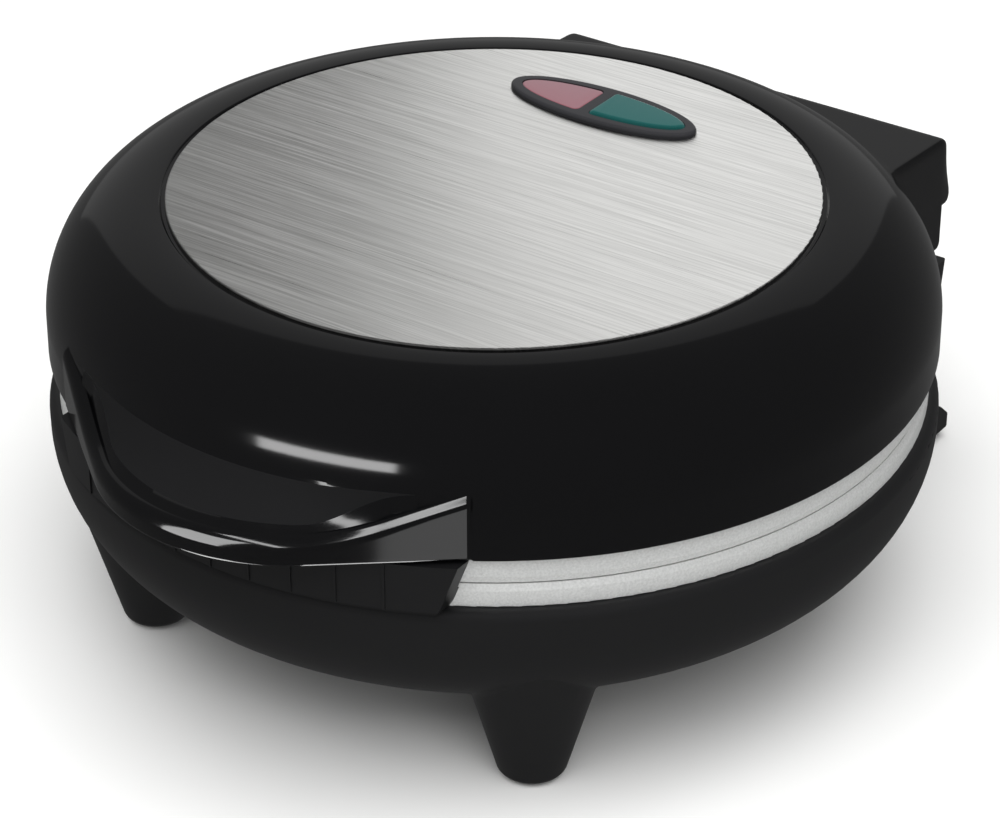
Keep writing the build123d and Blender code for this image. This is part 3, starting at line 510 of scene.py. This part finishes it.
def hinge_ears():
    """The two ears under the hood that run on the hinge pins, their lower front and rear edges rounded."""
    bm = bmesh.new()
    for side in (-1, 1):
        box(bm, (side * EAR_INNER_X, EAR_Y[0], EAR_Z[0]), (side * HOOD_HALF, EAR_Y[1], EAR_Z[1]))
    low = [e for e in bm.edges if all(v.co.z < (EAR_Z[0] + 1) * MM for v in e.verts)]
    across = [e for e in low if abs(e.verts[0].co.x - e.verts[1].co.x) > MM]
    bmesh.ops.bevel(bm, geom=across, offset=EAR_ROUND * MM, segments=6, affect="EDGES", profile=0.5)
    return bm


def node_group(name, sizes):
    """Empty Geometry Nodes tree with a mesh output and one named input for each size."""
    tree = bpy.data.node_groups.new(name, "GeometryNodeTree")
    tree.interface.new_socket("Geometry", in_out="INPUT", socket_type="NodeSocketGeometry")
    for label, (kind, value) in sizes.items():
        tree.interface.new_socket(label, in_out="INPUT", socket_type=kind).default_value = value
    tree.interface.new_socket("Geometry", in_out="OUTPUT", socket_type="NodeSocketGeometry")
    return tree, put(tree, "NodeGroupInput").outputs


def grown(tree, name, body, material):
    """Runs a Geometry Nodes tree once and keeps the result as a plain piece."""
    carrier = linked(name + "_carrier", bpy.data.meshes.new(name + "_carrier"))
    modifier = carrier.modifiers.new("grow", "NODES")
    modifier.node_group = tree
    for item in tree.interface.items_tree:
        if item.in_out == "INPUT" and item.socket_type != "NodeSocketGeometry":
            modifier[item.identifier] = item.default_value
    shape = carrier.evaluated_get(bpy.context.evaluated_depsgraph_get())
    mesh = bpy.data.meshes.new_from_object(shape)
    mesh.name = name
    carrier.modifiers.remove(modifier)
    bpy.data.objects.remove(carrier)
    piece = linked(name, mesh)
    if not mesh.materials:
        mesh.materials.append(material)
    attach(piece, body)
    return piece


def handle_ribs(material):
    """Thin upright ribs in the hollow under the handle, each as long as the hollow is there."""
    tree, size = node_group("handle_ribs", {
        "Rib count": ("NodeSocketInt", 5), "Pitch": ("NodeSocketFloat", 15.0 * MM),
        "Thickness": ("NodeSocketFloat", 1.4 * MM), "Foot": ("NodeSocketFloat", (HANDLE_EDGE + 1.2) * MM),
        "Roof": ("NodeSocketFloat", (LIP_LEVEL - LIP_PROUD - SKIN + 0.3) * MM)})

    def sum_of(a, b, how="ADD"):
        return put(tree, "ShaderNodeMath", {"operation": how}, {0: a, 1: b}).outputs[0]

    def arc_y(radius, centre_y):
        """Y of a circle's front at a rib's X."""
        square = sum_of(radius**2, sum_of(x, x, "MULTIPLY"), "SUBTRACT")
        return sum_of(centre_y, sum_of(square, 0.5, "POWER"), "SUBTRACT")

    spare = sum_of(sum_of(size["Rib count"], 1.0, "SUBTRACT"), 0.5, "MULTIPLY")
    place = put(tree, "GeometryNodeInputIndex").outputs["Index"]
    x = sum_of(sum_of(place, spare, "SUBTRACT"), size["Pitch"], "MULTIPLY")
    front = arc_y((NOSE_RADIUS - SKIN + 0.3) * MM, NOSE_CENTRE_Y * MM)
    back = arc_y((LID_RADIUS - 0.3) * MM, 0.0)
    middle = put(tree, "ShaderNodeCombineXYZ", inputs={
        "X": x, "Y": sum_of(sum_of(front, back), 0.5, "MULTIPLY"),
        "Z": sum_of(sum_of(size["Foot"], size["Roof"]), 0.5, "MULTIPLY")})
    spread = put(tree, "ShaderNodeCombineXYZ", inputs={
        "X": size["Thickness"], "Y": sum_of(back, front, "SUBTRACT"),
        "Z": sum_of(size["Roof"], size["Foot"], "SUBTRACT")})
    points = put(tree, "GeometryNodePoints", inputs={"Count": size["Rib count"], "Position": middle.outputs[0]})
    rib = put(tree, "GeometryNodeMeshCube", inputs={"Size": (1.0, 1.0, 1.0)})
    row = put(tree, "GeometryNodeInstanceOnPoints", inputs={
        "Points": points.outputs[0], "Instance": rib.outputs["Mesh"], "Scale": spread.outputs[0]})
    solid = put(tree, "GeometryNodeRealizeInstances", inputs={"Geometry": row.outputs[0]})
    dressed = put(tree, "GeometryNodeSetMaterial", inputs={"Geometry": solid.outputs[0], "Material": material})
    put(tree, "NodeGroupOutput", inputs={"Geometry": dressed.outputs[0]})
    return grown(tree, "handle_ribs", "lid", material)


def smooth_copy(node, name, body, angle=30):
    """A copy of a solid with its triangles merged and its curved faces shaded smooth."""
    bm = bmesh.new()
    bm.from_mesh(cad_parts[node].data)
    bmesh.ops.remove_doubles(bm, verts=bm.verts, dist=1e-6)
    piece = linked(name, shaded_mesh(name, bm, angle))
    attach(piece, body)
    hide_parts(node)
    return piece


# Materials

def linear(hex_colour):
    """sRGB hex to the linear colour that Blender's sockets hold."""
    values = [int(hex_colour[i:i + 2], 16) / 255 for i in (1, 3, 5)]
    return tuple(v / 12.92 if v <= 0.04045 else ((v + 0.055) / 1.055) ** 2.4 for v in values) + (1.0,)


def put(tree, kind, settings=None, inputs=None):
    """Adds a node with its settings and its values or links."""
    made = tree.nodes.new(kind)
    for key, value in (settings or {}).items():
        setattr(made, key, value)
    for key, value in (inputs or {}).items():
        if isinstance(value, bpy.types.NodeSocket):
            tree.links.new(value, made.inputs[key])
        else:
            made.inputs[key].default_value = value
    return made


def start_material(name):
    """Empty node material, and the object's own coordinates."""
    material = bpy.data.materials.new(name)
    material.use_nodes = True
    tree = material.node_tree
    tree.nodes.clear()
    place = put(tree, "ShaderNodeTexCoord").outputs["Object"]
    return material, tree, place


def finish_material(tree, shader):
    """Joins the shader to the output."""
    put(tree, "ShaderNodeOutputMaterial", inputs={"Surface": shader.outputs["BSDF"]})


def noise(tree, place, scale, detail):
    """Noise value at a place; scale in waves per metre."""
    return put(tree, "ShaderNodeTexNoise", inputs={"Vector": place, "Scale": scale, "Detail": detail}).outputs["Fac"]


def tinted(tree, factor, dark, light):
    """Colour between two sRGB hex values."""
    tint = put(tree, "ShaderNodeMix", {"data_type": "RGBA"}, {"Factor": factor})
    tint.inputs[6].default_value = linear(dark)
    tint.inputs[7].default_value = linear(light)
    return tint.outputs[2]


def ranged(tree, value, low, high, start=0.0, end=1.0):
    """A value from start to end turned into one from low to high."""
    return put(tree, "ShaderNodeMapRange", inputs={
        "Value": value, "From Min": start, "From Max": end, "To Min": low, "To Max": high}).outputs["Result"]


def bumped(tree, height, distance, strength):
    """Surface normal over a height; distance in metres."""
    return put(tree, "ShaderNodeBump", inputs={
        "Height": height, "Distance": distance, "Strength": strength}).outputs["Normal"]


def moulded(name, dark, light, rough_low, rough_high, grain_mm, grain_height, clouds_mm=60.0, ior=1.52):
    """Injection-moulded plastic: faint colour clouds, uneven gloss and a fine grain in the surface."""
    material, tree, place = start_material(name)
    clouds = noise(tree, place, 1000 / clouds_mm, 3.0)
    grain = noise(tree, place, 1000 / grain_mm, 2.0)
    finish_material(tree, put(tree, "ShaderNodeBsdfPrincipled", inputs={
        "Base Color": tinted(tree, clouds, dark, light), "Roughness": ranged(tree, clouds, rough_low, rough_high),
        "IOR": ior, "Normal": bumped(tree, grain, grain_height * MM, 1.0)}))
    return material


def brushed_stainless(name):
    """Stainless sheet brushed along X: broken fine streaks, and a highlight drawn across the grain."""
    material, tree, place = start_material(name)
    streaks = []
    for across, along, detail in ((16.0, 1500.0, 4.0), (55.0, 3300.0, 3.0)):
        stretched = put(tree, "ShaderNodeMapping", inputs={"Vector": place, "Scale": (across, along, across)})
        streaks.append(noise(tree, stretched.outputs["Vector"], 1.0, detail))
    wide = put(tree, "ShaderNodeMath", {"operation": "MULTIPLY_ADD"}, {0: streaks[0], 1: 0.6, 2: 0.0})
    total = put(tree, "ShaderNodeMath", {"operation": "MULTIPLY_ADD"}, {0: streaks[1], 1: 0.4, 2: wide.outputs[0]})
    total = total.outputs[0]
    grain_way = put(tree, "ShaderNodeCombineXYZ", inputs={"X": 1.0})
    finish_material(tree, put(tree, "ShaderNodeBsdfPrincipled", inputs={
        "Base Color": tinted(tree, ranged(tree, total, 0.0, 1.0, 0.36, 0.64), "#b4b4b2", "#dcdcda"),
        "Metallic": 1.0, "Roughness": ranged(tree, total, 0.26, 0.42, 0.3, 0.7), "Anisotropic": 0.7,
        "Tangent": grain_way.outputs["Vector"], "Normal": bumped(tree, total, 0.00002, 0.6)}))
    return material


def blasted_silver(name):
    """Bead-blasted and lacquered silver: an even fine sparkle with no direction."""
    material, tree, place = start_material(name)
    grit = noise(tree, place, 1800.0, 2.0)
    clouds = noise(tree, place, 60.0, 3.0)
    finish_material(tree, put(tree, "ShaderNodeBsdfPrincipled", inputs={
        "Base Color": tinted(tree, grit, "#b9bab9", "#e6e7e6"), "Metallic": 0.3,
        "Roughness": ranged(tree, clouds, 0.40, 0.52), "Normal": bumped(tree, grit, 0.00006, 0.8)}))
    return material


def worn_metal(name, dark, light, rough_low, rough_high, patch_mm, metallic=1.0):
    """Plain sheet or wire with a patchy surface."""
    material, tree, place = start_material(name)
    patches = noise(tree, place, 1000 / patch_mm, 5.0)
    finish_material(tree, put(tree, "ShaderNodeBsdfPrincipled", inputs={
        "Base Color": tinted(tree, patches, dark, light), "Metallic": metallic,
        "Roughness": ranged(tree, patches, rough_low, rough_high), "Normal": bumped(tree, patches, 0.00003, 0.5)}))
    return material


def lens_with_painted_sheen(name, deep, pale):
    """Clear gloss over a saturated body, with a painted reflection: the base colour turns pale where the lens is seen
    at a slant.
    """
    material, tree, place = start_material(name)
    clouds = noise(tree, place, 220.0, 2.0)
    # Painted reflection: the base colour is mixed towards the pale colour by how slanting the view is
    facing = put(tree, "ShaderNodeLayerWeight", inputs={"Blend": 0.35})
    finish_material(tree, put(tree, "ShaderNodeBsdfPrincipled", inputs={
        "Base Color": tinted(tree, facing.outputs["Facing"], deep, pale), "Roughness": ranged(tree, clouds, 0.04, 0.10),
        "IOR": 1.49, "Transmission Weight": 0.35, "Coat Weight": 0.6, "Coat Roughness": 0.03}))
    return material


# ABS moulded in a polished tool: the lid, its handle's lip and the hinge ears
gloss_abs = moulded("abs_high_gloss_black", "#050506", "#070708", 0.07, 0.12, 2.2, 0.0006)
# The same ABS with an eroded texture: the handle's dish
satin_abs = moulded("abs_satin_black", "#111112", "#151516", 0.52, 0.60, 0.6, 0.004)
# Polypropylene with a fine satin texture: the bowl, the rear block and the front grip
satin_pp = moulded("pp_satin_black", "#131314", "#19191a", 0.34, 0.46, 0.5, 0.012)
# Smoke grey ABS, half gloss: the lamp frame
smoke_abs = moulded("abs_smoke_gloss", "#2a2a2c", "#333336", 0.10, 0.18, 1.5, 0.001)
# Glass-filled nylon, which stands the heat: the lamp holder and the terminal block
dark_nylon = moulded("nylon_dark", "#202021", "#2a2a2b", 0.5, 0.62, 0.5, 0.02)
# Unglazed steatite: the thermostat's body and the thermal fuses
sleeve = moulded("steatite_white", "#cfcac0", "#e2ded6", 0.45, 0.6, 0.6, 0.02)
# Soft rubber: the foot pads and the cord bushing
rubber = moulded("rubber_black", "#151515", "#1c1c1c", 0.7, 0.85, 0.4, 0.03, ior=1.5)
# PTFE non-stick coating on cast aluminium: both cooking plates
nonstick = moulded("ptfe_coating", "#1b1b1c", "#262627", 0.36, 0.5, 0.35, 0.008)
# 430 stainless sheet, brushed one way: the disc on the lid
steel_disc = brushed_stainless("stainless_430_brushed")
# Cast aluminium, bead blasted and lacquered: the two silver rims
silver = blasted_silver("aluminium_blasted_silver")
# Steel tube that heat has tinted brown: the heating elements
sheath = worn_metal("steel_sheath_tinted", "#4a443e", "#7a6f63", 0.35, 0.55, 9.0)
# Aluminised steel sheet: the heat pans
pan_sheet = worn_metal("aluminised_sheet", "#a9a9a6", "#c9c9c6", 0.3, 0.45, 14.0)
# Zinc-plated steel: all screws and the hinge pins
zinc = worn_metal("zinc_plated_steel", "#9c9c9e", "#c6c6c8", 0.25, 0.4, 3.0)
# Red and teal acrylic: the lenses over the two lamps; the pale colour each turns at a slant is a painted reflection
red_lens = lens_with_painted_sheen("acrylic_red", "#8a1230", "#c9b4bb")
green_lens = lens_with_painted_sheen("acrylic_teal", "#004b48", "#3f8886")
# Soda glass: the neon lamps' bulbs
lamp_glass = worn_metal("soda_glass", "#d8d8d4", "#f0f0ea", 0.05, 0.12, 6.0, metallic=0.0)

# Carried-over solids and their finishes
finishes = {
    "top_disc": steel_disc, "lamp_holder": dark_nylon, "power_neon": lamp_glass, "ready_neon": lamp_glass,
    "upper_element": sheath, "lower_element": sheath, "upper_pan": pan_sheet, "lower_pan": pan_sheet,
    "upper_plate_screws": zinc, "lower_plate_screws": zinc, "lid_screws": zinc, "base_screws": zinc,
    "terminal_screws": zinc, "terminal_block": dark_nylon, "thermostat": sleeve, "lower_thermal_fuse": sleeve,
    "upper_thermal_fuse": sleeve, "left_hinge_pin": zinc, "right_hinge_pin": zinc,
}
for node, finish in finishes.items():
    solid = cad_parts[node]
    solid.data.materials.clear()
    solid.data.materials.append(finish)

# Solids whose curved faces need smooth shading
smooth_nodes = (
    ("base_shell", "bowl", "base", satin_pp), ("hinge_block", "hinge_block_body", "base", satin_pp),
    ("front_grip", "grip_wall", "base", satin_pp), ("lower_rim", "lower_band", "base", silver),
    ("upper_rim", "upper_band", "lid", silver), ("lower_cook_plate", "lower_plate", "base", nonstick),
    ("upper_cook_plate", "upper_plate", "lid", nonstick), ("lamp_bezel", "lamp_frame", "lid", smoke_abs),
    ("power_lens", "red_window", "lid", red_lens), ("ready_lens", "teal_window", "lid", green_lens),
    ("cord_bushing", "bushing", "base", rubber), ("foot_pad_front_left", "pad_front_left", "base", rubber),
    ("foot_pad_front_right", "pad_front_right", "base", rubber),
    ("foot_pad_rear_left", "pad_rear_left", "base", rubber),
    ("foot_pad_rear_right", "pad_rear_right", "base", rubber),
)
for node, name, body, finish in smooth_nodes:
    smooth_copy(node, name, body).data.materials.append(finish)

# Lid moulding, and the handle, ears and ribs that belong to it
lid = new_piece("lid_moulding", lid_skin(), "lid", 8, ("lid_shell",))
lid.data.materials.append(gloss_abs)
handle = new_piece("handle_lip", lip_skin(), "lid", 40)
handle.data.materials.append(gloss_abs)
new_piece("handle_dish", dish_skin(), "lid", 40).data.materials.append(satin_abs)
new_piece("lid_hinge_ears", hinge_ears(), "lid", 30).data.materials.append(gloss_abs)
handle_ribs(gloss_abs)


def panel(name, azimuth, elevation, distance, width, height, radiance,
          glossy=True, diffuse=True, turn=0.0, aim=(0, 0, 0.07)):
    """Soft box at a direction from the object, facing it. radiance is what a mirror would show, with white at 1."""
    data = bpy.data.lights.new(name, "AREA")
    data.shape = "RECTANGLE"
    data.size = width
    data.size_y = height
    data.energy = radiance * width * height * pi
    light = linked(name, data)
    a, e = radians(azimuth), radians(elevation)
    way = Vector((cos(a) * cos(e), sin(a) * cos(e), sin(e)))
    light.location = Vector(aim) + way * distance
    light.rotation_euler = (way.to_track_quat("Z", "Y") @ Quaternion((0, 0, 1), radians(turn))).to_euler()
    light.visible_camera = False
    light.visible_glossy = glossy
    light.visible_diffuse = diffuse
    return light


def only_on(light, *pieces):
    """Lets a light fall on some pieces alone, as a flag or a snoot does in a studio."""
    group = bpy.data.collections.new(light.name + "_falls_on")
    for piece in pieces:
        group.objects.link(piece)
    light.light_linking.receiver_collection = group


# Light: a pale wall behind, a wide soft ceiling and a front fill
panel("back_wall", 127, 24, 1.5, 1.9, 1.5, 0.13)
panel("ceiling", -60, 75, 1.8, 2.6, 2.6, 3.2, glossy=False)
panel("front_fill", -45, 25, 1.8, 1.4, 1.2, 1.6, glossy=False)

# One bright card for the disc, off to its right, so that the sheet darkens to the left
disc_card = panel("disc_card", 125, 30, 0.4, 0.43, 0.63, 0.96, aim=(0.165, 0.1, 0.113))
only_on(disc_card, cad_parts["top_disc"])

# One strip that shows as the long highlight on the dome
only_on(panel("dome_strip", -95, 18, 1.3, 0.76, 0.18, 9.0, turn=8), lid)

# Cards that show only as reflections in the handle's lip and outer face:
# name, azimuth, elevation, distance, width, height, radiance, turn and the point they face
handle_cards = (
    ("nose_card", -106, 16, 0.3, 0.21, 0.36, 8.0, -8, (-0.003, -0.13, 0.081)),
    ("flank_card", -90, 50, 0.4, 0.036, 0.5, 9.0, 41.6, (0.0505, -0.1035, 0.0885)),
    ("floor_card", -47.5, -30.6, 0.16, 0.048, 0.09, 1.3, 0, (0.059, -0.098, 0.083)),
    ("nose_edge_card", -100, -72, 0.07, 0.04, 0.05, 8.0, 0, (-0.006, -0.13, 0.0757)),
    ("flank_edge_card", -50, -72, 0.07, 0.035, 0.05, 8.0, 0, (0.043, -0.11, 0.0757)),
)
for *place, turn, aim in handle_cards:
    only_on(panel(*place, diffuse=False, turn=turn, aim=aim), handle)

# A faint even light from all round
world = bpy.data.worlds.new("studio")
bpy.context.scene.world = world
world.use_nodes = True
background = world.node_tree.nodes["Background"]
background.inputs["Color"].default_value = (1, 1, 1, 1)
background.inputs["Strength"].default_value = 0.12

# Floor: a wide matt sheet of white paper
paper, paper_tree, paper_place = start_material("paper_sweep")
paper_tint = tinted(paper_tree, noise(paper_tree, paper_place, 9.0, 4.0), "#f2f2f1", "#f6f6f5")
finish_material(paper_tree, put(paper_tree, "ShaderNodeBsdfPrincipled", inputs={
    "Base Color": paper_tint, "Roughness": 0.9, "Specular IOR Level": 0.2}))
floor_mesh = bpy.data.meshes.new("floor")
floor_mesh.from_pydata([(-6, -6, 0), (6, -6, 0), (6, 6, 0), (-6, 6, 0)], [], [(0, 1, 2, 3)])
floor = linked("floor", floor_mesh)
floor.data.materials.append(paper)
floor.location.z = -0.0002
floor.visible_glossy = False

# Camera at the photo's angle
camera_data = bpy.data.cameras.new("camera")
camera_data.lens = CAMERA_LENS
camera_data.sensor_width = 36.0
camera = linked("camera", camera_data)
camera.location = CAMERA_PLACE
camera.rotation_euler = Vector(CAMERA_WAY).to_track_quat("-Z", "Y").to_euler()
bpy.context.scene.camera = camera
bpy.context.scene.view_settings.view_transform = "Standard"
